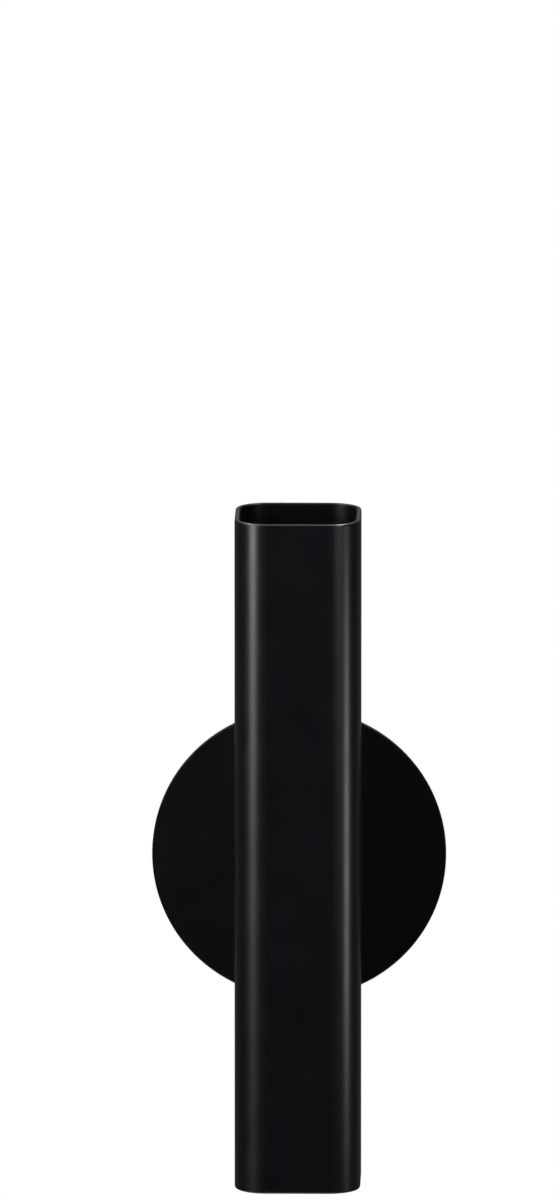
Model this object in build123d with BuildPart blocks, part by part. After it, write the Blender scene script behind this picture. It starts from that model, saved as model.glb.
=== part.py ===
from build123d import *
from math import cos, radians, tan
import os

# A wall vase. A rounded square metal tube hangs by two keyholes on a round disc.
# The disc is screwed to the wall. A test tube of clear glass stands inside the metal
# tube, holds the water and lifts out at the mouth.
# Sizes are in millimetres. X points right, Y into the wall and Z up.
# The origin is the centre of the disc's back face, which lies on the wall.

# Wall disc
disc_diameter = 120
disc_thickness = 3
disc_front_chamfer = 0.4
disc_back_chamfer = 0.3

# Square tube, outside sizes, with the drop from the disc's centre to the foot
tube_side = 51.2
tube_corner_radius = 13
tube_wall = 2
tube_height = 276.8
tube_drop = 130.5
rim_outer_round = 0.8
rim_inner_chamfer = 0.4
foot_round = 1.2

# Pressed pan that closes the foot
cap_thickness = 2
cap_skirt_wall = 1.2
cap_skirt_height = 8
cap_recess = 0.5
cap_clearance = 0.05
cap_edge_chamfer = 0.5
cap_skirt_chamfer = 0.3

# Hanging studs: a screw through the disc, a washer and a stepped nut
stud_spacing = 56
stud_thread_diameter = 4
stud_head_diameter = 7.5
stud_head_sink = 0.1
stud_bite = 0.3
stud_tip_chamfer = 0.4
washer_diameter = 15
washer_thickness = 2.55
washer_chamfer = 0.3
neck_diameter = 6
nut_head_diameter = 11
nut_head_thickness = 2
nut_head_chamfer = 0.4
nut_bore_spare = 0.3
nut_slot_width = 1.2
nut_slot_depth = 0.7
thread_clearance = 0.05

# Keyholes in the tube's back
hang_play = 0.15
neck_clearance = 0.2
entry_clearance = 0.5
keyhole_travel = 12

# Screws that fix the disc to the wall, each with a plain neck and a thicker thread
wall_screw_spacing = 92
wall_screw_diameter = 4
wall_screw_neck_diameter = 3.5
wall_screw_neck_past_disc = 0.5
wall_screw_head_diameter = 8
wall_screw_head_sink = 0.2
wall_screw_length = 35
wall_screw_point_length = 5
wall_screw_point_radius = 0.3
wall_screw_clearance = 0.3

# Heads of all the countersunk screws
screw_head_land = 0.25
sink_clearance = 0.05
countersink_angle = 90

# Soft pads on the disc's front
pad_diameter = 6
pad_clearance = 0.3
pad_chamfer = 0.6
pad_spacing_x = 16
pad_spacing_z = 106

# Glass test tube, with a bead round its mouth
liner_gap = 2.45
liner_wall = 1.8
lip_recess = 12
bead_radius = 1.5

# Ribbed collar on the glass neck
collar_height = 10
collar_clearance = 0.3
collar_bore_clearance = 0.05
collar_rib_count = 3
collar_rib_depth = 1
collar_rib_thickness = 1.6
collar_rib_chamfer = 0.3
bead_clearance = 0.1

# Soft seat under the glass
seat_floor = 3
seat_height = 16
seat_clearance = 0.1
seat_glass_clearance = 0.3
seat_cone_angle = 60
seat_edge_chamfer = 0.8

# Holes that let air past the collar and water past the seat, one in each corner
vent_diameter = 3
vent_inset = 9.3

# How far a cut runs past the face that it starts from
overrun = 1

# Places that follow from the sizes: depths from the wall, then heights above the tube's foot
washer_front = disc_thickness + washer_thickness
tube_back = washer_front + hang_play
tube_axis = tube_back + tube_side / 2
neck_length = tube_wall + 2 * hang_play
nut_head_back = washer_front + neck_length
nut_front = nut_head_back + nut_head_thickness
stud_length = nut_head_back + stud_bite - stud_head_sink
stud_z = stud_spacing / 2
wall_screw_z = wall_screw_spacing / 2
wall_screw_neck_end = disc_thickness - wall_screw_head_sink + wall_screw_neck_past_disc

seat_base = cap_recess + cap_thickness
liner_radius = tube_axis - nut_front - liner_gap
liner_bore = liner_radius - liner_wall
dome_centre = seat_base + seat_floor + seat_glass_clearance + liner_radius
seat_reach = liner_radius + seat_glass_clearance
seat_cone_slope = tan(radians(seat_cone_angle / 2))
seat_cone_foot = seat_reach / cos(radians(seat_cone_angle / 2)) - seat_reach * seat_cone_slope
seat_cone_height = seat_height - seat_floor + overrun
bead_centre = tube_height - lip_recess - bead_radius
collar_base = bead_centre - bead_radius - bead_clearance - collar_height
vent_spacing = tube_side - 2 * vent_inset

# The disc seen from the room, the disc seen from the wall, the tube's foot, and a cut
# through the tube's axis
room_side = Plane.XZ
wall_side = Plane(origin=(0, 0, 0), x_dir=(1, 0, 0), z_dir=(0, 1, 0))
tube_foot = Plane(origin=(0, -tube_axis, -tube_drop), x_dir=(1, 0, 0), z_dir=(0, 0, 1))
tube_cut = Plane(origin=(0, -tube_axis, -tube_drop), x_dir=(1, 0, 0), z_dir=(0, -1, 0))

os.makedirs("parts", exist_ok=True)


def screw_half(head_radius, *shank):
    """Half outline of a countersunk screw, from its head's top along local Y.

    The shank is given as points of radius and distance from the head's top. The head's
    cone runs down at 45 degrees to the first of them.
    """
    neck_radius = shank[0][0]
    cone_end = screw_head_land + head_radius - neck_radius
    Polyline(
        (0, 0),
        (head_radius, 0),
        (head_radius, screw_head_land),
        (neck_radius, cone_end),
        *shank,
        (0, shank[-1][1]),
        close=True,
    )


def tube_outline(inset):
    """Rounded square that follows the tube's outside at a distance inside it."""
    side = tube_side - 2 * inset
    RectangleRounded(side, side, tube_corner_radius - inset)


# Wall disc, with the wall screws sunk in its front and the stud screws in its back
with BuildPart() as wall_disc:
    with BuildSketch(room_side):
        Circle(disc_diameter / 2)
    extrude(amount=disc_thickness)
    chamfer(wall_disc.edges().sort_by(Axis.Y)[0], length=disc_front_chamfer)
    chamfer(wall_disc.edges().sort_by(Axis.Y)[-1], length=disc_back_chamfer)
    with Locations(room_side.offset(disc_thickness - wall_screw_head_sink - screw_head_land)):
        with Locations((0, wall_screw_z), (0, -wall_screw_z)):
            CounterSinkHole(
                wall_screw_diameter / 2 + wall_screw_clearance,
                wall_screw_head_diameter / 2 + sink_clearance,
                counter_sink_angle=countersink_angle,
            )
    with Locations(wall_side.offset(-stud_head_sink - screw_head_land)):
        with Locations((0, stud_z), (0, -stud_z)):
            CounterSinkHole(
                stud_thread_diameter / 2 + thread_clearance,
                stud_head_diameter / 2 + sink_clearance,
                counter_sink_angle=countersink_angle,
            )
wall_disc.part.label = "wall_disc"
export_step(wall_disc.part, "parts/wall_disc.step")

# Wall screws, through the disc into the wall
with BuildPart() as wall_screws:
    screw_top = (0, wall_screw_head_sink - disc_thickness, wall_screw_z)
    with BuildSketch(Plane(origin=screw_top, x_dir=(1, 0, 0), z_dir=(0, 0, 1))):
        with BuildLine():
            screw_half(
                wall_screw_head_diameter / 2,
                (wall_screw_neck_diameter / 2, wall_screw_neck_end),
                (wall_screw_diameter / 2, wall_screw_neck_end),
                (wall_screw_diameter / 2, wall_screw_length - wall_screw_point_length),
                (wall_screw_point_radius, wall_screw_length),
            )
        make_face()
    revolve(axis=Axis(screw_top, (0, 1, 0)))
    mirror(about=Plane.XY)
wall_screws.part.label = "wall_screws"
export_step(wall_screws.part, "parts/wall_screws.step")

# Stud screws, put in from the disc's back
with BuildPart() as stud_screws:
    stud_top = (0, -stud_head_sink, stud_z)
    with BuildSketch(Plane(origin=stud_top, x_dir=(1, 0, 0), z_dir=(0, 0, -1))):
        with BuildLine():
            screw_half(
                stud_head_diameter / 2,
                (stud_thread_diameter / 2, stud_length - stud_tip_chamfer),
                (stud_thread_diameter / 2 - stud_tip_chamfer, stud_length),
            )
        make_face()
    revolve(axis=Axis(stud_top, (0, 1, 0)))
    mirror(about=Plane.XY)
stud_screws.part.label = "stud_screws"
export_step(stud_screws.part, "parts/stud_screws.step")

# Washers that hold the tube off the disc
with BuildPart() as stud_washers:
    with BuildSketch(room_side.offset(disc_thickness)):
        with Locations((0, stud_z), (0, -stud_z)):
            Circle(washer_diameter / 2)
            Circle(stud_thread_diameter / 2 + thread_clearance, mode=Mode.SUBTRACT)
    extrude(amount=washer_thickness)
    fronts = stud_washers.faces().sort_by(Axis.Y)[:2]
    chamfer([front.outer_wire().edges()[0] for front in fronts], length=washer_chamfer)
stud_washers.part.label = "stud_washers"
export_step(stud_washers.part, "parts/stud_washers.step")

# Stepped nuts: the neck stands in the keyhole's slot and the head holds the tube
with BuildPart() as hanging_nuts:
    with BuildSketch(room_side.offset(washer_front)):
        with Locations((0, stud_z), (0, -stud_z)):
            Circle(neck_diameter / 2)
    extrude(amount=neck_length)
    with BuildSketch(room_side.offset(nut_head_back)):
        with Locations((0, stud_z), (0, -stud_z)):
            Circle(nut_head_diameter / 2)
    extrude(amount=nut_head_thickness)
    fronts = hanging_nuts.faces().sort_by(Axis.Y)[:2]
    chamfer([front.outer_wire().edges()[0] for front in fronts], length=nut_head_chamfer)
    with BuildSketch(room_side.offset(washer_front)):
        with Locations((0, stud_z), (0, -stud_z)):
            Circle(stud_thread_diameter / 2 + thread_clearance)
    extrude(amount=neck_length + stud_bite + nut_bore_spare, mode=Mode.SUBTRACT)
    with BuildSketch(room_side.offset(nut_front - nut_slot_depth)):
        with Locations((0, stud_z), (0, -stud_z)):
            Rectangle(nut_head_diameter + overrun, nut_slot_width)
    extrude(amount=nut_slot_depth + overrun, mode=Mode.SUBTRACT)
hanging_nuts.part.label = "hanging_nuts"
export_step(hanging_nuts.part, "parts/hanging_nuts.step")

# Soft pads that the tube's flat back rests against
with BuildPart() as bumper_pads:
    with BuildSketch(room_side.offset(disc_thickness)):
        with GridLocations(pad_spacing_x, pad_spacing_z, 2, 2):
            Circle(pad_diameter / 2)
    extrude(amount=tube_back - pad_clearance - disc_thickness)
    fronts = bumper_pads.faces().sort_by(Axis.Y)[:4]
    chamfer([front.outer_wire().edges()[0] for front in fronts], length=pad_chamfer)
bumper_pads.part.label = "bumper_pads"
export_step(bumper_pads.part, "parts/bumper_pads.step")

# Square tube, open at both ends, with two keyholes in its back wall
with BuildPart() as tube_body:
    with BuildSketch(tube_foot):
        tube_outline(0)
    extrude(amount=tube_height)
    foot = tube_body.faces().sort_by(Axis.Z)[0]
    fillet(foot.edges(), radius=foot_round)
    with BuildSketch(tube_foot):
        tube_outline(tube_wall)
    extrude(amount=tube_height, mode=Mode.SUBTRACT)
    rim = tube_body.faces().sort_by(Axis.Z)[-1]
    fillet(rim.outer_wire().edges(), radius=rim_outer_round)
    rim = tube_body.faces().sort_by(Axis.Z)[-1]
    chamfer(rim.inner_wires()[0].edges(), length=rim_inner_chamfer)
    with BuildSketch(room_side.offset(tube_back - overrun)):
        with Locations((0, stud_z), (0, -stud_z)):
            Circle(neck_diameter / 2 + neck_clearance)
        with Locations((0, stud_z - keyhole_travel / 2), (0, -stud_z - keyhole_travel / 2)):
            Rectangle(neck_diameter + 2 * neck_clearance, keyhole_travel)
        with Locations((0, stud_z - keyhole_travel), (0, -stud_z - keyhole_travel)):
            Circle(nut_head_diameter / 2 + entry_clearance)
    extrude(amount=tube_wall + 2 * overrun, mode=Mode.SUBTRACT)
tube_body.part.label = "tube_body"
export_step(tube_body.part, "parts/tube_body.step")

# Pan pressed into the foot, with its skirt turned up inside the tube
with BuildPart() as base_cap:
    with BuildSketch(tube_foot.offset(cap_recess)):
        tube_outline(tube_wall + cap_clearance)
    extrude(amount=cap_thickness + cap_skirt_height)
    chamfer(base_cap.faces().sort_by(Axis.Z)[0].edges(), length=cap_edge_chamfer)
    with BuildSketch(tube_foot.offset(seat_base)):
        tube_outline(tube_wall + cap_clearance + cap_skirt_wall)
    extrude(amount=cap_skirt_height, mode=Mode.SUBTRACT)
    chamfer(base_cap.faces().sort_by(Axis.Z)[-1].edges(), length=cap_skirt_chamfer)
base_cap.part.label = "base_cap"
export_step(base_cap.part, "parts/base_cap.step")

# Soft seat: a block that fills the pan, with a cone that centres the round end of the glass
with BuildPart() as liner_seat:
    with BuildSketch(tube_foot.offset(seat_base)):
        tube_outline(tube_wall + cap_clearance + cap_skirt_wall + seat_clearance)
        with GridLocations(vent_spacing, vent_spacing, 2, 2):
            Circle(vent_diameter / 2, mode=Mode.SUBTRACT)
    extrude(amount=seat_height)
    chamfer(liner_seat.faces().sort_by(Axis.Z)[-1].outer_wire().edges(), length=seat_edge_chamfer)
    with Locations(tube_foot.offset(seat_base + seat_floor)):
        Cone(
            bottom_radius=seat_cone_foot,
            top_radius=seat_cone_foot + seat_cone_height * seat_cone_slope,
            height=seat_cone_height,
            align=(Align.CENTER, Align.CENTER, Align.MIN),
            mode=Mode.SUBTRACT,
        )
liner_seat.part.label = "liner_seat"
export_step(liner_seat.part, "parts/liner_seat.step")

# Glass test tube, turned from one half outline
with BuildPart() as glass_liner:
    with BuildSketch(tube_cut):
        with BuildLine():
            outer_dome = CenterArc((0, dome_centre), liner_radius, -90, 90)
            outer_wall = Line(outer_dome @ 1, (liner_radius, bead_centre))
            inner_wall = Line((liner_bore, bead_centre), (liner_bore, dome_centre))
            inner_dome = CenterArc((0, dome_centre), liner_bore, 0, -90)
            Line(outer_wall @ 1, inner_wall @ 0)
            Line(inner_dome @ 1, outer_dome @ 0)
        make_face()
        with Locations((liner_bore + bead_radius, bead_centre)):
            Circle(bead_radius)
    revolve(axis=Axis(tube_foot.origin, (0, 0, 1)))
glass_liner.part.label = "glass_liner"
export_step(glass_liner.part, "parts/glass_liner.step")

# Ribbed collar, under the bead of the glass
with BuildPart() as liner_collar:
    with BuildSketch(tube_foot.offset(collar_base)):
        tube_outline(tube_wall + collar_clearance + collar_rib_depth)
    extrude(amount=collar_height)
    rib_pitch = (collar_height - collar_rib_thickness) / (collar_rib_count - 1)
    for rib in range(collar_rib_count):
        with BuildSketch(tube_foot.offset(collar_base + rib * rib_pitch)):
            tube_outline(tube_wall + collar_clearance)
        extrude(amount=collar_rib_thickness)
    ends = liner_collar.faces().filter_by(Axis.Z).sort_by(Axis.Z)
    chamfer(ends[0].edges() + ends[-1].edges(), length=collar_rib_chamfer)
    with Locations(tube_foot.offset(collar_base)):
        Hole(liner_radius + collar_bore_clearance)
        with GridLocations(vent_spacing, vent_spacing, 2, 2):
            Hole(vent_diameter / 2)
liner_collar.part.label = "liner_collar"
export_step(liner_collar.part, "parts/liner_collar.step")
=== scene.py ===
# %% [markdown]
# # A black wall vase, dressed for the camera
# The vase is a rounded square metal tube. It hangs by two keyholes on a round disc that is
# screwed to the wall, and a glass test tube inside it holds the water. The construction
# model gives every piece its true size and place. This file adds what that model leaves
# plain: the finishes, a clear fire-polished glass, the soft moulded pieces, the screws with
# their threads, the light and the camera.
# Lengths are in metres, X points right, Y into the wall and Z up.

# %% Load the construction model
import math

import bmesh
import bpy
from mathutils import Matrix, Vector


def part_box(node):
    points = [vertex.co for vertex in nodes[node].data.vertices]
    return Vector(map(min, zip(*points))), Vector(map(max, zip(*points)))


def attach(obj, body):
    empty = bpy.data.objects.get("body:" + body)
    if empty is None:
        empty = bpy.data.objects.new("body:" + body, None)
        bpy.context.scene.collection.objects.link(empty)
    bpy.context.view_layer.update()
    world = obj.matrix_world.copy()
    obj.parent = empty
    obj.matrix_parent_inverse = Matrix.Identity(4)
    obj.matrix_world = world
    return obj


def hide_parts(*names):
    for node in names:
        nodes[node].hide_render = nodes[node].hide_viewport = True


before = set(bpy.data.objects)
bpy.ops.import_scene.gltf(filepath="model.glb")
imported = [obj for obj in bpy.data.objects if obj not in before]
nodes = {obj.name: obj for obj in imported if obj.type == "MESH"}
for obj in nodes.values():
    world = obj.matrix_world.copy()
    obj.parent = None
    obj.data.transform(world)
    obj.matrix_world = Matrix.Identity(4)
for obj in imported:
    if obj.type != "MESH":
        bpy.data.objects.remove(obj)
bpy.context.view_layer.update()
print("pieces in the model:", sorted(nodes))

# %% [markdown]
# ## The camera
# The tube looks as wide at its foot as at its mouth, so the photograph was taken from far
# away with a long lens. The view is from a little above, which is why the foot of the tube
# looks curved, and from very slightly to the right. Three readings place the camera: how
# wide the disc is in the picture, where its centre lies, and the two angles. The lens then
# follows from the disc's real width. The sensor is measured along the picture's height,
# because that is its longer side.


# %% Where the camera looks
def way_out(turn, rise):
    """The way out from the vase, turned from straight ahead and raised by these degrees."""
    turn, rise = math.radians(turn), math.radians(rise)
    return Vector((
        math.sin(turn) * math.cos(rise),
        -math.cos(turn) * math.cos(rise),
        math.sin(rise),
    ))


MM = 0.001
PHOTO_WIDTH = 558
PHOTO_HEIGHT = 1200
DISC_CENTRE_PX = (299.2, 853.2)
DISC_WIDTH_PX = 294.1
CAMERA_TURN = 0.95
CAMERA_RISE = 10.6

disc_low, disc_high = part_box("wall_disc")
disc_centre = (disc_low + disc_high) / 2
metres_per_px = (disc_high.x - disc_low.x) / DISC_WIDTH_PX
to_camera = way_out(CAMERA_TURN, CAMERA_RISE)
picture_right = way_out(CAMERA_TURN + 90, 0)
picture_up = to_camera.cross(picture_right)
aim = (
    disc_centre
    + picture_right * (PHOTO_WIDTH / 2 - DISC_CENTRE_PX[0]) * metres_per_px
    + picture_up * (DISC_CENTRE_PX[1] - PHOTO_HEIGHT / 2) * metres_per_px
)
print("one pixel of the photograph is", round(metres_per_px / MM, 3), "mm on the disc")

# %% Camera
CAMERA_DISTANCE = 10
SENSOR_MM = 36

bpy.ops.object.camera_add(location=aim + to_camera * CAMERA_DISTANCE)
camera = bpy.context.object
camera.name = "photo_camera"
camera.rotation_mode = "QUATERNION"
camera.rotation_quaternion = to_camera.to_track_quat("Z", "Y")
camera.data.sensor_width = SENSOR_MM
camera.data.lens = CAMERA_DISTANCE * SENSOR_MM / (metres_per_px * PHOTO_HEIGHT)
camera.data.clip_start = CAMERA_DISTANCE / 10
camera.data.clip_end = CAMERA_DISTANCE * 10
bpy.context.scene.camera = camera
bpy.context.scene.view_settings.view_transform = "Standard"
print("lens", round(camera.data.lens), "mm at", CAMERA_DISTANCE, "m")

# %% [markdown]
# ## Building a finish
# A finish is more than a colour. Its gloss varies a little from place to place, and its
# surface has a relief too small to model. Both come from noise that is fixed to the piece,
# so they stay put when the piece moves. A finish is a tree of nodes, and the same few kinds
# of node come back in every one, so each kind gets a helper of its own.


# %% A finish and its noise
def new_finish(name, colour, metallic=0.0, ior=1.5):
    """A material with its plain colour, and the node tree and the shader to build on."""
    finish = bpy.data.materials.new(name)
    finish.use_nodes = True
    shader = finish.node_tree.nodes["Principled BSDF"]
    shader.inputs["Base Color"].default_value = (*colour, 1)
    shader.inputs["Metallic"].default_value = metallic
    shader.inputs["IOR"].default_value = ior
    return finish, finish.node_tree, shader


def own_place(tree):
    """Where a point lies on its own piece, however the piece has moved."""
    return tree.nodes.new("ShaderNodeTexCoord").outputs["Object"]


def noise(tree, feature, detail=2.0):
    """Noise with features of about this size in metres."""
    texture = tree.nodes.new("ShaderNodeTexNoise")
    texture.inputs["Scale"].default_value = 1 / feature
    texture.inputs["Detail"].default_value = detail
    tree.links.new(own_place(tree), texture.inputs["Vector"])
    return texture.outputs["Fac"]


# %% [markdown]
# Noise stays close to the middle of its scale from 0 to 1. So its middle stretch is what
# drives a colour or a gloss from one end of its range to the other.


# %% From noise to colour, gloss and relief
NOISE_SPAN = (0.3, 0.7)


def run(tree, value, span, low, high, smooth=False):
    """A value that runs from low to high while the given one crosses its span."""
    reach = tree.nodes.new("ShaderNodeMapRange")
    if smooth:
        reach.interpolation_type = "SMOOTHSTEP"
    reach.inputs["From Min"].default_value = span[0]
    reach.inputs["From Max"].default_value = span[1]
    reach.inputs["To Min"].default_value = low
    reach.inputs["To Max"].default_value = high
    tree.links.new(value, reach.inputs["Value"])
    return reach.outputs["Result"]


def vary(tree, value, socket, low, high):
    """Lets a shader's input run from low to high with the noise."""
    tree.links.new(run(tree, value, NOISE_SPAN, low, high), socket)


def tint(tree, value, socket, first, second):
    """Lets a shader's colour run between two colours with the noise."""
    ramp = tree.nodes.new("ShaderNodeValToRGB")
    for element, position, colour in zip(
        ramp.color_ramp.elements, NOISE_SPAN, (first, second)
    ):
        element.position = position
        element.color = (*colour, 1)
    tree.links.new(value, ramp.inputs["Fac"])
    tree.links.new(ramp.outputs["Color"], socket)


def relief(tree, value, shader, depth):
    """Gives the surface a fine relief of this depth in metres."""
    bump = tree.nodes.new("ShaderNodeBump")
    bump.inputs["Strength"].default_value = 1
    bump.inputs["Distance"].default_value = depth
    tree.links.new(value, bump.inputs["Height"])
    tree.links.new(bump.outputs["Normal"], shader.inputs["Normal"])


def dress(finish, *names):
    """Gives the named CAD pieces this finish."""
    for name in names:
        nodes[name].data.materials.clear()
        nodes[name].data.materials.append(finish)
    print(finish.name, "on", ", ".join(names))


# %% [markdown]
# ## The satin black coat
# Tube, disc and foot pan carry one baked film of black powder coat. Its colour is close to
# pure black with a breath of blue. What tells it from plastic is the sheen: a soft bright
# band where a corner turns past a lamp. The band's edges are not ruler straight, because
# the film has a slight orange peel, here a few thousandths of a millimetre deep.

# %% Satin black coat
coat, tree, shader = new_finish("satin_black_coat", (0.0016, 0.0014, 0.0032))
tint(
    tree, noise(tree, feature=20 * MM), shader.inputs["Base Color"],
    first=(0.0014, 0.0012, 0.0028), second=(0.0018, 0.0016, 0.0036),
)
vary(
    tree, noise(tree, feature=15 * MM, detail=3), shader.inputs["Roughness"],
    low=0.31, high=0.35,
)
relief(tree, noise(tree, feature=0.7 * MM), shader, depth=0.004 * MM)
dress(coat, "tube_body", "wall_disc", "base_cap")

# %% [markdown]
# ## Turned brass
# The hanging nuts are turned from brass bar, and the lathe leaves fine rings about each
# nut's axis. A ring pattern needs the distance from that axis. Both nuts lie on the upright
# middle plane at the same distance above and below the disc's centre, so the absolute
# height less that distance serves the two of them at once. At a scale of one the wave node
# runs through 20 radians in a metre, and from that comes the scale for rings a quarter of a
# millimetre apart.


# %% Places and sums in a node tree
def split(tree, vector):
    """The X, Y and Z of a vector."""
    parts = tree.nodes.new("ShaderNodeSeparateXYZ")
    tree.links.new(vector, parts.inputs["Vector"])
    return parts.outputs


def maths(tree, operation, first, second=None):
    """A Math node on one value, or on a value with a second one or with a number."""
    node = tree.nodes.new("ShaderNodeMath")
    node.operation = operation
    tree.links.new(first, node.inputs[0])
    if isinstance(second, float):
        node.inputs[1].default_value = second
    elif second is not None:
        tree.links.new(second, node.inputs[1])
    return node.outputs["Value"]


# %% The way from a nut's axis
nuts_low, nuts_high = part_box("hanging_nuts")
nut_radius = (nuts_high.x - nuts_low.x) / 2
nut_height = nuts_high.z - nut_radius

brass, tree, shader = new_finish("turned_brass", (0.78, 0.6, 0.32), metallic=1.0)
spot = split(tree, own_place(tree))
from_axis = tree.nodes.new("ShaderNodeCombineXYZ")
tree.links.new(spot["X"], from_axis.inputs["X"])
upright = maths(tree, "SUBTRACT", maths(tree, "ABSOLUTE", spot["Z"]), nut_height)
tree.links.new(upright, from_axis.inputs["Z"])
print("nut axes", round(nut_height / MM, 1), "mm above and below the disc's centre")

# %% Turned brass
RING_PITCH = 0.25 * MM
WAVE_RADIANS = 20

rings = tree.nodes.new("ShaderNodeTexWave")
rings.wave_type = "RINGS"
rings.rings_direction = "SPHERICAL"
rings.inputs["Scale"].default_value = 2 * math.pi / (WAVE_RADIANS * RING_PITCH)
rings.inputs["Distortion"].default_value = 1
tree.links.new(from_axis.outputs["Vector"], rings.inputs["Vector"])
tint(
    tree, noise(tree, feature=4 * MM), shader.inputs["Base Color"],
    first=(0.75, 0.57, 0.30), second=(0.80, 0.62, 0.34),
)
vary(tree, noise(tree, feature=1 * MM), shader.inputs["Roughness"], low=0.24, high=0.31)
relief(tree, rings.outputs["Fac"], shader, depth=0.006 * MM)
dress(brass, "hanging_nuts")

# %% [markdown]
# ## Zinc plate
# The washers and the screws are zinc plated steel, which is bluish, bright and a little
# cloudy. The clouds are a few millimetres wide, so noise of two sizes does it: a coarser
# one for the colour and a finer one for the gloss.

# %% Zinc plate
zinc, tree, shader = new_finish("bright_zinc_plate", (0.62, 0.63, 0.64), metallic=1.0)
tint(
    tree, noise(tree, feature=2 * MM), shader.inputs["Base Color"],
    first=(0.59, 0.605, 0.63), second=(0.65, 0.66, 0.665),
)
vary(
    tree, noise(tree, feature=0.8 * MM, detail=3), shader.inputs["Roughness"],
    low=0.27, high=0.36,
)
relief(tree, noise(tree, feature=0.3 * MM), shader, depth=0.004 * MM)
dress(zinc, "stud_washers")

# %% [markdown]
# ## How the other pieces are modelled
# The remaining pieces are round or rounded square. Each grows the way one would draw it by
# hand: a flat face is added at one end, then extruded and scaled through the points of its
# profile up to the other end, so that the piece is closed all the way. An operator acts on
# all that is selected, so everything is deselected before a new piece starts.


# %% Growing a round piece
def alone(piece=None):
    """Deselects everything, then selects this piece and makes it active if one is given."""
    bpy.ops.object.select_all(action="DESELECT")
    if piece:
        piece.select_set(True)
        bpy.context.view_layer.objects.active = piece


def grow(piece, name, centre, profile):
    """Extrudes the piece's flat face through the profile's points of size and height."""
    piece.name = name
    piece.data.name = name
    size, height = profile[0]
    bpy.ops.object.transform_apply(location=True, rotation=False, scale=False)
    bpy.ops.object.mode_set(mode="EDIT")
    bpy.ops.mesh.select_all(action="SELECT")
    for next_size, next_height in profile[1:]:
        bpy.ops.mesh.extrude_region_move(
            TRANSFORM_OT_translate={"value": (0, 0, next_height - height)}
        )
        share = next_size / size
        bpy.ops.transform.resize(value=(share, share, 1), center_override=centre)
        size, height = next_size, next_height
    bpy.ops.mesh.select_all(action="SELECT")
    bpy.ops.mesh.normals_make_consistent(inside=False)
    bpy.ops.object.mode_set(mode="OBJECT")
    return piece


def turned(name, centre, profile, segments):
    """A closed round piece about an upright axis, from its radii and heights."""
    alone()
    radius, height = profile[0]
    bpy.ops.mesh.primitive_circle_add(
        vertices=segments,
        radius=radius,
        fill_type="NGON",
        location=centre + Vector((0, 0, height)),
    )
    return grow(bpy.context.object, name, centre, profile)


# %% Profile points on a curve
def arc(radius, height, bend, start, end, steps):
    """Points on a circle of radius bend about (radius, height), between two angles."""
    angles = [math.radians(start + (end - start) * step / steps) for step in range(steps + 1)]
    return [
        (radius + bend * math.cos(angle), height + bend * math.sin(angle)) for angle in angles
    ]


# %% [markdown]
# A finished piece is smoothed, but not across its sharp edges. Then it gets its finish and
# is attached to the body that it moves with, and the plain CAD piece that it stands for is
# hidden.


# %% Handing a piece over
def hand_over(piece, body, finish, node, sharp=35):
    """Shades and dresses the finished piece, and puts it in a CAD piece's place."""
    alone(piece)
    bpy.ops.object.shade_smooth_by_angle(angle=math.radians(sharp))
    piece.data.materials.clear()
    piece.data.materials.append(finish)
    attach(piece, body)
    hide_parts(node)
    print(piece.name, "has", len(piece.data.polygons), "faces and rides on", body)


# %% [markdown]
# ## The glass
# A clear test tube with a round end stands inside the metal tube and holds the water. Its
# mouth was softened in a flame, so the rim has swollen into a bead. One closed profile
# draws it all: up the outside, over the bead and down the inside. A wall with two faces
# bends the light as real glass does, which a single sheet can't. Each dome stops a degree
# short of its pole, where a small flat face closes it. The straight walls have a few rings
# more, given in bead radii below the bead. They are closer together near the bead, so that
# the shading of the long wall stays even.

# %% Glass liner
GLASS_WALL = 1.8 * MM
GLASS_SEGMENTS = 96
DOME_ANGLE = 89
DOME_STEPS = 24
BEAD_RADIUS = 1.5 * MM
BEAD_STEPS = 14
BEAD_UNDERSIDE = -40
OUTER_RINGS = (30, 8, 1.4)
INNER_RINGS = (2, 8, 30)
NECK_FLARE = 0.1 * BEAD_RADIUS
NECK_DROP = 1.05 * BEAD_RADIUS

glass_low, glass_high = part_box("glass_liner")
glass_centre = (glass_low + glass_high) / 2
glass_bore = (glass_high.x - glass_low.x) / 2 - 2 * BEAD_RADIUS
glass_radius = glass_bore + GLASS_WALL
dome_height = glass_low.z + glass_radius - glass_centre.z
bead_height = glass_high.z - BEAD_RADIUS - glass_centre.z
glass_profile = (
    arc(0, dome_height, glass_radius, -DOME_ANGLE, 0, DOME_STEPS)
    + [(glass_radius, bead_height - ring * BEAD_RADIUS) for ring in OUTER_RINGS]
    + [(glass_radius + NECK_FLARE, bead_height - NECK_DROP)]
    + arc(glass_bore + BEAD_RADIUS, bead_height, BEAD_RADIUS, BEAD_UNDERSIDE, 180, BEAD_STEPS)
    + [(glass_bore, bead_height - ring * BEAD_RADIUS) for ring in INNER_RINGS]
    + arc(0, dome_height, glass_bore, 0, -DOME_ANGLE, DOME_STEPS)
)
glass_liner = turned("clear_glass_liner", glass_centre, glass_profile, GLASS_SEGMENTS)
print("glass", round(2 * glass_radius / MM, 1), "mm wide with", len(glass_profile), "rings")

# %% [markdown]
# Clear glass is a little green where the light's way through it is long, at the edges. So
# the green isn't in the surface's colour: the body of the glass absorbs the other colours,
# more of them the deeper the light has to go. Hand-drawn tube is also never quite even, and
# a very slight waviness gives that.

# %% Clear glass
GLASS_GREEN = (0.60, 0.86, 0.75, 1)
ABSORPTION_PER_METRE = 60

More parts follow.
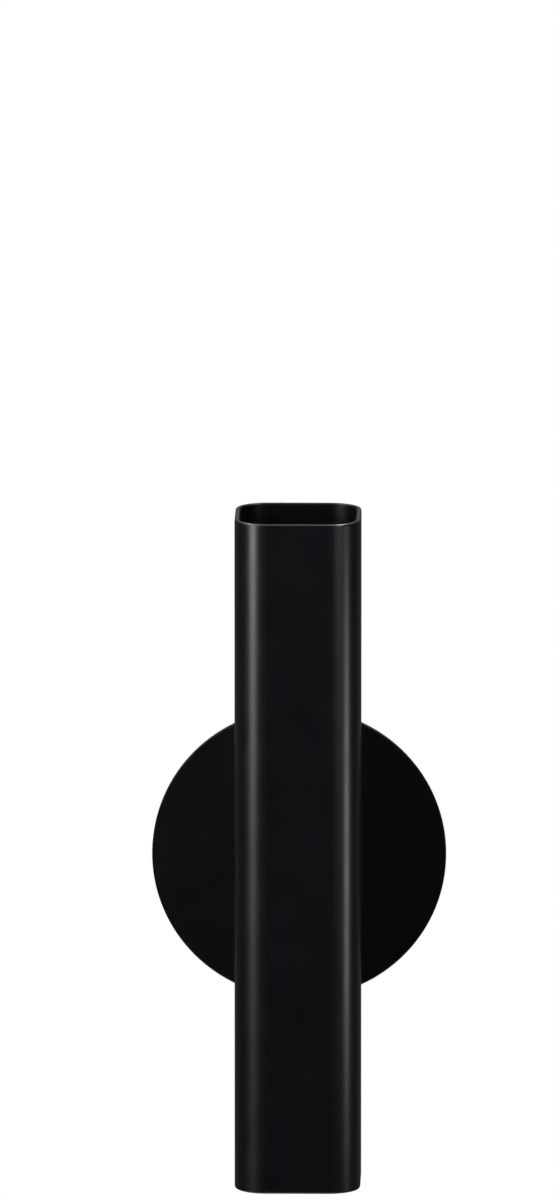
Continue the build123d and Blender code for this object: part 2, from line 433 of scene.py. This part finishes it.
glass, tree, shader = new_finish("clear_glass", (0.98, 0.99, 0.985))
shader.inputs["Transmission Weight"].default_value = 1
body_of_glass = tree.nodes.new("ShaderNodeVolumeAbsorption")
body_of_glass.inputs["Color"].default_value = GLASS_GREEN
body_of_glass.inputs["Density"].default_value = ABSORPTION_PER_METRE
tree.links.new(
    body_of_glass.outputs["Volume"], tree.nodes["Material Output"].inputs["Volume"]
)
vary(
    tree, noise(tree, feature=10 * MM, detail=3), shader.inputs["Roughness"],
    low=0.0, high=0.012,
)
relief(tree, noise(tree, feature=14 * MM, detail=1), shader, depth=0.008 * MM)
hand_over(glass_liner, "water_glass", glass, "glass_liner")

# %% [markdown]
# ## The soft pieces
# Two black silicone mouldings hold the glass. The collar has three lips that press lightly
# on the metal tube, each with a rounded edge, as a mould leaves it. The seat has a cone that
# centres the round end. Both have four small holes at their corners that let air and water
# past. Silicone is matt with a dusty bloom, so its gloss is low and its colour slightly
# uneven. Lips are easiest as part of the outline that is extruded. Bore, cone and holes are
# then cut out with plain round tools.

# %% Silicone
silicone, tree, shader = new_finish("black_silicone", (0.03, 0.03, 0.032))
tint(
    tree, noise(tree, feature=6 * MM, detail=4), shader.inputs["Base Color"],
    first=(0.022, 0.022, 0.024), second=(0.036, 0.036, 0.038),
)
vary(
    tree, noise(tree, feature=3 * MM, detail=3), shader.inputs["Roughness"],
    low=0.50, high=0.66,
)
relief(tree, noise(tree, feature=0.4 * MM), shader, depth=0.012 * MM)


# %% Rounded square pieces, and cuts
CORNER_SEGMENTS = 12


def squared(name, centre, corner, profile):
    """A closed rounded square piece, from its half widths and heights."""
    alone()
    half, height = profile[0]
    bpy.ops.mesh.primitive_plane_add(size=2 * half, location=centre + Vector((0, 0, height)))
    bpy.ops.object.mode_set(mode="EDIT")
    bpy.ops.mesh.bevel(
        offset=corner, segments=CORNER_SEGMENTS, profile=0.5, affect="VERTICES"
    )
    bpy.ops.object.mode_set(mode="OBJECT")
    return grow(bpy.context.object, name, centre, profile)


def cut(piece, *tools):
    """Cuts each tool's shape out of the piece, and removes the tool."""
    for tool in tools:
        alone(piece)
        modifier = piece.modifiers.new("cut", "BOOLEAN")
        modifier.operation = "DIFFERENCE"
        modifier.object = tool
        bpy.ops.object.modifier_apply(modifier=modifier.name)
        alone(tool)
        bpy.ops.object.delete()


# %% Corner holes
VENT_RADIUS = 1.5 * MM
VENT_INSET = 9.3 * MM
VENT_SEGMENTS = 32

tube_low, tube_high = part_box("tube_body")
tube_centre = (tube_low + tube_high) / 2
tube_half = (tube_high.x - tube_low.x) / 2
vent_reach = tube_half - VENT_INSET


def vent_tools(height, length):
    """Four upright rods where the corner holes go."""
    tools = []
    for side_x in (-1, 1):
        for side_y in (-1, 1):
            alone()
            bpy.ops.mesh.primitive_cylinder_add(
                vertices=VENT_SEGMENTS,
                radius=VENT_RADIUS,
                depth=length,
                location=(side_x * vent_reach, tube_centre.y + side_y * vent_reach, height),
            )
            tools.append(bpy.context.object)
    return tools


print("corner holes", round(2 * vent_reach / MM, 1), "mm apart")

# %% The collar's outline
LIP_COUNT = 3
LIP_THICKNESS = 1.6 * MM
LIP_DEPTH = 1 * MM
LIP_STEPS = 10

collar_low, collar_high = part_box("liner_collar")
collar_centre = (collar_low + collar_high) / 2
collar_half = (collar_high.x - collar_low.x) / 2
collar_height = collar_high.z - collar_low.z
lip_pitch = (collar_height - LIP_THICKNESS) / (LIP_COUNT - 1)
lip_bend = LIP_THICKNESS / 2
lip_root = collar_half - LIP_DEPTH
collar_profile = []
for lip in range(LIP_COUNT):
    lip_height = lip * lip_pitch + lip_bend - collar_height / 2
    collar_profile += [(lip_root, lip_height - lip_bend)]
    collar_profile += arc(collar_half - lip_bend, lip_height, lip_bend, -90, 90, LIP_STEPS)
    collar_profile += [(lip_root, lip_height + lip_bend)]
print(LIP_COUNT, "lips,", round(lip_pitch / MM, 2), "mm from one to the next")

# %% Collar
TUBE_CORNER = 13 * MM
ROUND_FIT = 0.05 * MM

collar_corner = TUBE_CORNER - (tube_half - lip_root)
liner_collar = squared("ribbed_collar", collar_centre, collar_corner, collar_profile)
alone()
bpy.ops.mesh.primitive_cylinder_add(
    vertices=GLASS_SEGMENTS,
    radius=glass_radius + ROUND_FIT,
    depth=2 * collar_height,
    location=collar_centre,
)
cut(liner_collar, bpy.context.object, *vent_tools(collar_centre.z, 2 * collar_height))
hand_over(liner_collar, "water_glass", silicone, "liner_collar")

# %% Seat
SEAT_EDGE = 0.8 * MM
SEAT_EDGE_STEPS = 6

seat_low, seat_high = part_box("liner_seat")
seat_centre = (seat_low + seat_high) / 2
seat_half = (seat_high.x - seat_low.x) / 2
seat_top = seat_high.z - seat_centre.z
seat_profile = [(seat_half, -seat_top)]
seat_profile += arc(
    seat_half - SEAT_EDGE, seat_top - SEAT_EDGE, SEAT_EDGE, 0, 90, SEAT_EDGE_STEPS
)
seat_corner = TUBE_CORNER - (tube_half - seat_half)
liner_seat = squared("coned_seat", seat_centre, seat_corner, seat_profile)
print("seat", round(2 * seat_half / MM, 1), "mm wide,", round(2 * seat_top / MM, 1), "mm high")

# %% [markdown]
# The seat's cone has to leave the round end of the glass the same small clearance all the
# way round. So it is set against a ball that is larger than the glass by the clearance and
# stands on the cone's foot. The cone touches that ball when its radius at the foot is the
# ball's radius over the cosine of the cone's half angle, less the ball's radius times the
# tangent of it.

# %% The seat's cone
SEAT_FLOOR = 3 * MM
SEAT_CONE = math.radians(30)
CONE_CLEARANCE = 0.3 * MM
CONE_SPARE = 1 * MM

cone_reach = glass_radius + CONE_CLEARANCE
cone_foot = cone_reach * (1 / math.cos(SEAT_CONE) - math.tan(SEAT_CONE))
cone_height = 2 * seat_top - SEAT_FLOOR + CONE_SPARE
alone()
bpy.ops.mesh.primitive_cone_add(
    vertices=GLASS_SEGMENTS,
    radius1=cone_foot,
    radius2=cone_foot + cone_height * math.tan(SEAT_CONE),
    depth=cone_height,
    location=seat_centre + Vector((0, 0, SEAT_FLOOR - seat_top + cone_height / 2)),
)
cut(liner_seat, bpy.context.object, *vent_tools(seat_centre.z, 4 * seat_top))
hand_over(liner_seat, "hanging_tube", silicone, "liner_seat")
print("seat cone", round(cone_foot / MM, 2), "mm in radius at its foot")

# %% [markdown]
# ## The bumper pads
# Four cloudy silicone dots on the disc keep the tube's back from knocking. Some light goes
# through them and some is scattered inside, so both are part of the finish. One pad is
# modelled upright, laid down on the disc and copied to the other three places.


# %% Laying down and copying
def lay_down(piece, turn):
    """Turns an upright piece about the X axis, and leaves its object unturned."""
    alone(piece)
    piece.rotation_euler.x = math.radians(turn)
    bpy.ops.object.transform_apply(location=False, rotation=True, scale=False)


def copies(piece, places):
    """The piece at each place, each copy with its own mesh and its object at the origin."""
    made = []
    for index, place in enumerate(places):
        copy = piece
        if index < len(places) - 1:
            alone(piece)
            bpy.ops.object.duplicate(linked=False)
            copy = bpy.context.object
        copy.name = f"{piece.name}_{index + 1}"
        copy.location = place
        alone(copy)
        bpy.ops.object.transform_apply(location=True, rotation=False, scale=False)
        made.append(copy)
    return made


# %% Cloudy silicone
cloudy, tree, shader = new_finish("cloudy_silicone", (0.75, 0.76, 0.74), ior=1.41)
shader.inputs["Transmission Weight"].default_value = 0.65
shader.inputs["Subsurface Weight"].default_value = 0.5
shader.inputs["Subsurface Radius"].default_value = (1, 1, 1)
shader.inputs["Subsurface Scale"].default_value = 2 * MM
tint(
    tree, noise(tree, feature=3 * MM), shader.inputs["Base Color"],
    first=(0.71, 0.72, 0.70), second=(0.78, 0.79, 0.77),
)
vary(tree, noise(tree, feature=2 * MM), shader.inputs["Roughness"], low=0.30, high=0.45)
relief(tree, noise(tree, feature=0.5 * MM), shader, depth=0.006 * MM)

# %% Bumper pads
PAD_RADIUS = 3 * MM
PAD_SEGMENTS = 48
PAD_EDGE = 1 * MM
PAD_EDGE_ANGLE = 78
PAD_EDGE_STEPS = 7
PAD_CROWN = 0.15 * MM
CROWN_RADIUS = 0.9 * MM
CROWN_DROP = 0.03 * MM
PAD_POLE = 0.1 * MM

pads_low, pads_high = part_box("bumper_pads")
pad_height = pads_high.y - pads_low.y
edge_height = pad_height - PAD_CROWN - PAD_EDGE
pad_profile = [(PAD_RADIUS, 0)]
pad_profile += arc(
    PAD_RADIUS - PAD_EDGE, edge_height, PAD_EDGE, 0, PAD_EDGE_ANGLE, PAD_EDGE_STEPS
)
pad_profile += [(CROWN_RADIUS, pad_height - CROWN_DROP), (PAD_POLE, pad_height)]
first_pad = turned("bumper_pad", Vector(), pad_profile, PAD_SEGMENTS)
lay_down(first_pad, 90)
pad_x = pads_high.x - PAD_RADIUS
pad_z = pads_high.z - PAD_RADIUS
pad_places = [(x, pads_high.y, z) for x in (-pad_x, pad_x) for z in (-pad_z, pad_z)]
for pad in copies(first_pad, pad_places):
    hand_over(pad, "wall_mount", cloudy, "bumper_pads")

# %% [markdown]
# ## The screws
# Seen from behind, the disc shows the flat heads of the two stud screws and the threads of
# the two wall screws. A thread is a short zigzag line carried round and up at the same
# time, which is what the Screw modifier does. Its two open ends are each drawn together in
# a point at their middle, so that the thread is closed. The wood screw's point is the same
# thread, pinched in by a taper. The line itself starts as a ring of four points: they are
# moved to their places, and the edge that closes the ring is deleted.

# %% The zigzag line
ROOT_SHARE = 0.45
CREST_SHARE = 0.72


def zigzag(name, core, crest, pitch, start):
    """An open line beside the axis: straight up the core, out to the crest and back."""
    alone()
    bpy.ops.mesh.primitive_circle_add(vertices=4, radius=core, fill_type="NOTHING")
    piece = bpy.context.object
    piece.name = name
    points = [
        (core, start),
        (core, start + ROOT_SHARE * pitch),
        (crest, start + CREST_SHARE * pitch),
        (core, start + pitch),
    ]
    bpy.ops.object.mode_set(mode="EDIT")
    mesh = bmesh.from_edit_mesh(piece.data)
    mesh.verts.ensure_lookup_table()
    for vertex, (radius, height) in zip(mesh.verts, points):
        vertex.co = (radius, 0, height)
    for edge in mesh.edges:
        ends = {vertex.index for vertex in edge.verts}
        edge.select_set(ends == {0, 3})
    bmesh.update_edit_mesh(piece.data)
    bpy.ops.mesh.select_mode(type="EDGE")
    bpy.ops.mesh.delete(type="EDGE")
    bpy.ops.mesh.select_mode(type="VERT")
    bpy.ops.object.mode_set(mode="OBJECT")
    return piece


# %% The thread
THREAD_STEPS = 24
POINT_TAPER = 0.85
WELD = 0.001 * MM


def wind(piece, pitch, turns):
    """Carries the line round the axis and up by one pitch a turn."""
    winding = piece.modifiers.new("winding", "SCREW")
    winding.axis = "Z"
    winding.angle = math.radians(360)
    winding.screw_offset = pitch
    winding.iterations = turns
    winding.steps = THREAD_STEPS
    winding.render_steps = THREAD_STEPS
    winding.use_smooth_shade = False
    bpy.ops.object.modifier_apply(modifier=winding.name)


def pinch(piece, share):
    """Draws this share of the thread, at its lower end, in to a point."""
    taper = piece.modifiers.new("pinch", "SIMPLE_DEFORM")
    taper.deform_method = "TAPER"
    taper.deform_axis = "Z"
    taper.limits = (0, share)
    taper.factor = POINT_TAPER
    bpy.ops.object.modifier_apply(modifier=taper.name)


def close_ends():
    """Joins the turns of the active thread, and draws each open end together."""
    bpy.ops.object.mode_set(mode="EDIT")
    bpy.ops.mesh.select_all(action="SELECT")
    bpy.ops.mesh.remove_doubles(threshold=WELD)
    bpy.ops.mesh.select_all(action="DESELECT")
    bpy.ops.mesh.select_non_manifold()
    bpy.ops.mesh.extrude_region_move()
    bpy.ops.mesh.merge(type="COLLAPSE")
    bpy.ops.mesh.select_all(action="SELECT")
    bpy.ops.mesh.normals_make_consistent(inside=False)
    bpy.ops.object.mode_set(mode="OBJECT")


def thread(name, core, crest, pitch, turns, start, point=0.0):
    """An upright screw thread, with a lowest part of this length pinched to a point."""
    piece = zigzag(name, core, crest, pitch, start)
    wind(piece, pitch, turns)
    if point:
        pinch(piece, point / ((turns + 1) * pitch))
    close_ends()
    return piece


# %% [markdown]
# The cross in the head is cut with a tool that starts as a plus shape and narrows towards
# its bottom, as the driver's bit does. The plus is a small square whose four edges are
# extruded outwards, one after the other. Each is found by where its middle lies.

# %% The cross recess
CROSS_SPARE = 0.2 * MM
CROSS_TAPER = 0.45


def cross_tool(reach, width, depth):
    """A plus shape above the head that narrows on its way down."""
    alone()
    bpy.ops.mesh.primitive_plane_add(size=width, location=(0, 0, CROSS_SPARE))
    piece = bpy.context.object
    bpy.ops.object.transform_apply(location=True, rotation=False, scale=False)
    bpy.ops.object.mode_set(mode="EDIT")
    for way in (Vector((1, 0, 0)), Vector((-1, 0, 0)), Vector((0, 1, 0)), Vector((0, -1, 0))):
        edge_middle = way * width / 2 + Vector((0, 0, CROSS_SPARE))
        mesh = bmesh.from_edit_mesh(piece.data)
        for item in [*mesh.verts, *mesh.edges, *mesh.faces]:
            item.select_set(False)
        for edge in mesh.edges:
            middle = (edge.verts[0].co + edge.verts[1].co) / 2
            if (middle - edge_middle).length < WELD:
                edge.select_set(True)
        bmesh.update_edit_mesh(piece.data)
        bpy.ops.mesh.extrude_edges_move(
            TRANSFORM_OT_translate={"value": way * (reach - width / 2)}
        )
    bpy.ops.mesh.select_all(action="SELECT")
    bpy.ops.mesh.extrude_region_move(
        TRANSFORM_OT_translate={"value": (0, 0, -depth - CROSS_SPARE)}
    )
    bpy.ops.transform.resize(value=(CROSS_TAPER, CROSS_TAPER, 1), center_override=(0, 0, 0))
    bpy.ops.mesh.select_all(action="SELECT")
    bpy.ops.mesh.normals_make_consistent(inside=False)
    bpy.ops.object.mode_set(mode="OBJECT")
    return piece


def join(*pieces):
    """The pieces as one, named for the first."""
    alone(pieces[0])
    for piece in pieces[1:]:
        piece.select_set(True)
    bpy.ops.object.join()
    return pieces[0]


# %% [markdown]
# A wall screw has a countersunk head, a short plain neck and a coarse thread down to its
# point. Head and neck are turned upright with the head's top at height 0, and the neck ends
# just inside the thread. A taper leaves alone what lies at the height of the object's
# origin. So the thread is wound with its point below the origin, pinched, and only then
# moved to its place and joined on.

# %% Wall screw heads
HEAD_LAND = 0.25 * MM
HEAD_BREAK = 0.08 * MM
HEAD_SEGMENTS = 64
WOOD_HEAD = 4 * MM
WOOD_NECK = 1.75 * MM
WOOD_NECK_LENGTH = 1.4 * MM
WOOD_NECK_END = 0.6 * MM
WOOD_NECK_INSET = 0.2 * MM
WOOD_CORE = 1.3 * MM

screws_low, screws_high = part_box("wall_screws")
wood_length = screws_high.y - screws_low.y
wood_cone = HEAD_LAND + WOOD_HEAD - WOOD_NECK
wood_neck = wood_cone + WOOD_NECK_LENGTH
wood_profile = [
    (WOOD_CORE - WOOD_NECK_INSET, -wood_neck - WOOD_NECK_END),
    (WOOD_NECK, -wood_neck),
    (WOOD_NECK, -wood_cone),
    (WOOD_HEAD, -HEAD_LAND),
    (WOOD_HEAD, -HEAD_BREAK),
    (WOOD_HEAD - HEAD_BREAK, 0),
]
wall_screw = turned("wall_screw", Vector(), wood_profile, HEAD_SEGMENTS)
cut(wall_screw, cross_tool(reach=2.3 * MM, width=1.2 * MM, depth=2.3 * MM))
print("wall screws", round(wood_length / MM, 1), "mm long")

# %% Wall screws
SCREW_SHARP = 30
WOOD_CREST = 2 * MM
WOOD_PITCH = 1.75 * MM
WOOD_TURNS = 17
WOOD_POINT = 5 * MM

wood_thread = thread(
    "wood_thread", WOOD_CORE, WOOD_CREST, WOOD_PITCH, WOOD_TURNS,
    start=-WOOD_POINT, point=WOOD_POINT,
)
wood_thread.location.z = WOOD_POINT - wood_length
alone(wood_thread)
bpy.ops.object.transform_apply(location=True, rotation=False, scale=False)
wall_screw = join(wall_screw, wood_thread)
lay_down(wall_screw, 90)
screw_z = screws_high.z - WOOD_HEAD
for screw in copies(wall_screw, [(0, screws_low.y, z) for z in (-screw_z, screw_z)]):
    hand_over(screw, "wall_mount", zinc, "wall_screws", SCREW_SHARP)

# %% [markdown]
# A stud screw is a machine screw. Its fine thread runs up a plain core that fills it, with
# the thread's root just under the core's surface, so that no two faces lie in one place.

# %% Stud screw heads
STUD_HEAD = 3.75 * MM
STUD_CREST = 2 * MM
STUD_CORE = 1.62 * MM
STUD_RUNOUT = 0.4 * MM
STUD_TIP = 0.3 * MM

studs_low, studs_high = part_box("stud_screws")
stud_length = studs_high.y - studs_low.y
stud_cone = HEAD_LAND + STUD_HEAD - STUD_CREST
stud_profile = [
    (STUD_CORE - STUD_TIP, -stud_length),
    (STUD_CORE, STUD_TIP - stud_length),
    (STUD_CORE, -stud_cone - STUD_RUNOUT),
    (STUD_CREST, -stud_cone),
    (STUD_HEAD, -HEAD_LAND),
    (STUD_HEAD, -HEAD_BREAK),
    (STUD_HEAD - HEAD_BREAK, 0),
]
stud_screw = turned("stud_screw", Vector(), stud_profile, HEAD_SEGMENTS)
cut(stud_screw, cross_tool(reach=2.1 * MM, width=1.1 * MM, depth=1.9 * MM))
print("stud screws", round(stud_length / MM, 1), "mm long")

# %% Stud screws
STUD_PITCH = 0.7 * MM
STUD_TURNS = 7
ROOT_SINK = 0.02 * MM
THREAD_START = 0.2 * MM

stud_thread = thread(
    "stud_thread", STUD_CORE - ROOT_SINK, STUD_CREST, STUD_PITCH, STUD_TURNS,
    start=THREAD_START - stud_length,
)
stud_screw = join(stud_screw, stud_thread)
lay_down(stud_screw, -90)
stud_z = studs_high.z - STUD_HEAD
for screw in copies(stud_screw, [(0, studs_high.y, z) for z in (-stud_z, stud_z)]):
    hand_over(screw, "wall_mount", zinc, "stud_screws", SCREW_SHARP)

# %% [markdown]
# ## The world
# The photograph has a plain white ground. The world is white to the camera and through
# glass. Gloss sees white only straight behind the vase, where the backdrop is, a grey room
# to the sides and a dark one behind the camera: that keeps the black face black. Light
# Path tells what kind of ray is asking, and the Y of the ray's direction tells how squarely
# it points at the wall.


# %% World
def seen(tree):
    """One where the camera sees a point, itself or through glass, and otherwise zero."""
    ray = tree.nodes.new("ShaderNodeLightPath").outputs
    return maths(tree, "MAXIMUM", ray["Is Camera Ray"], ray["Is Transmission Ray"])


BACKDROP_SPAN = (0.985, 0.998)
ROOM_SPAN = (-0.3, 0.9)
ROOM_FRONT = 0.015
ROOM_REAR = 0.10

world = bpy.data.worlds.new("studio")
world.use_nodes = True
bpy.context.scene.world = world
sky = world.node_tree
background = sky.nodes["Background"]
background.inputs["Color"].default_value = (1, 1, 1, 1)
to_wall = split(sky, sky.nodes.new("ShaderNodeTexCoord").outputs["Generated"])["Y"]
backdrop = run(sky, to_wall, BACKDROP_SPAN, 0, 1, smooth=True)
glossy = sky.nodes.new("ShaderNodeLightPath").outputs["Is Glossy Ray"]
white = maths(sky, "MAXIMUM", seen(sky), maths(sky, "MULTIPLY", glossy, backdrop))
room = run(sky, to_wall, ROOM_SPAN, ROOM_FRONT, ROOM_REAR, smooth=True)
sky.links.new(maths(sky, "MAXIMUM", white, room), background.inputs["Strength"])
print("room from", ROOM_FRONT, "behind the camera to", ROOM_REAR, "at the wall")

# %% [markdown]
# ## The floor
# A pale paper floor lies well below the vase. Towards its edge it fades into the white of
# the world, so that no line shows where it ends: its own colour goes to black there, and a
# plain white glow takes over. Only the camera sees the glow, itself or through glass, so the
# vase isn't lit by it.

# %% Floor
FLOOR_REACH = 1.3
FLOOR_HEIGHT = -0.75
FLOOR_FADE = (0.2 * FLOOR_REACH, 0.95 * FLOOR_REACH)
FLOOR_GLOW = 0.6
PAPER = (0.8, 0.8, 0.8)

alone()
bpy.ops.mesh.primitive_plane_add(size=2 * FLOOR_REACH, location=(0, 0, FLOOR_HEIGHT))
floor = bpy.context.object
floor.name = "floor"
paper, tree, shader = new_finish("pale_paper", PAPER)
shader.inputs["Specular IOR Level"].default_value = 0
shader.inputs["Emission Color"].default_value = (1, 1, 1, 1)
away = tree.nodes.new("ShaderNodeVectorMath")
away.operation = "LENGTH"
tree.links.new(own_place(tree), away.inputs[0])
fade = run(tree, away.outputs["Value"], FLOOR_FADE, 0, 1, smooth=True)
glow = maths(tree, "MULTIPLY", seen(tree), run(tree, fade, (0, 1), FLOOR_GLOW, 1))
tree.links.new(glow, shader.inputs["Emission Strength"])
tint(tree, fade, shader.inputs["Base Color"], first=PAPER, second=(0, 0, 0))
vary(tree, noise(tree, feature=10 * MM), shader.inputs["Roughness"], low=0.75, high=0.85)
floor.data.materials.append(paper)
print("floor", -FLOOR_HEIGHT, "m below the disc's centre")

# %% [markdown]
# ## The lamps
# Upright lamps draw the bands on the tube's corners. The left one is tall and bright and
# ends level with the tube's middle, so its band fades towards the foot. The right one is
# small and near, and a wide weak one beside it gives the soft shoulder. Two small lamps
# above and behind the mouth draw the short bright lines on the corners of its lip.


# %% Lamps
def soft_lamp(name, turn, rise, distance, middle, width, length, watts):
    """A lamp that faces this height on the tube's axis, turned and raised by these degrees."""
    away = way_out(turn, rise)
    facing = Vector((0, tube_centre.y, middle))
    alone()
    bpy.ops.object.light_add(type="AREA", location=facing + away * distance)
    lamp = bpy.context.object
    lamp.name = name
    lamp.rotation_mode = "QUATERNION"
    lamp.rotation_quaternion = away.to_track_quat("Z", "Y")
    lamp.data.shape = "RECTANGLE"
    lamp.data.size = width
    lamp.data.size_y = length
    lamp.data.energy = watts
    lamp.visible_camera = False
    lamp.visible_transmission = False
    print(name, "at", turn, "degrees,", distance, "m away,", watts, "W")


soft_lamp(
    "left_strip", turn=-49, rise=0, distance=1.0,
    middle=0.44, width=0.33, length=1.0, watts=12.8,
)
soft_lamp(
    "right_strip", turn=68, rise=0, distance=0.5,
    middle=-0.07, width=0.1, length=0.18, watts=0.42,
)
soft_lamp(
    "right_soft", turn=38, rise=0, distance=1.0,
    middle=0.45, width=0.45, length=0.9, watts=2.8,
)
soft_lamp(
    "left_lip", turn=-139, rise=59, distance=1.0,
    middle=0.14, width=0.12, length=0.2, watts=8,
)
soft_lamp(
    "right_lip", turn=142, rise=65, distance=1.0,
    middle=0.14, width=0.12, length=0.2, watts=10,
)
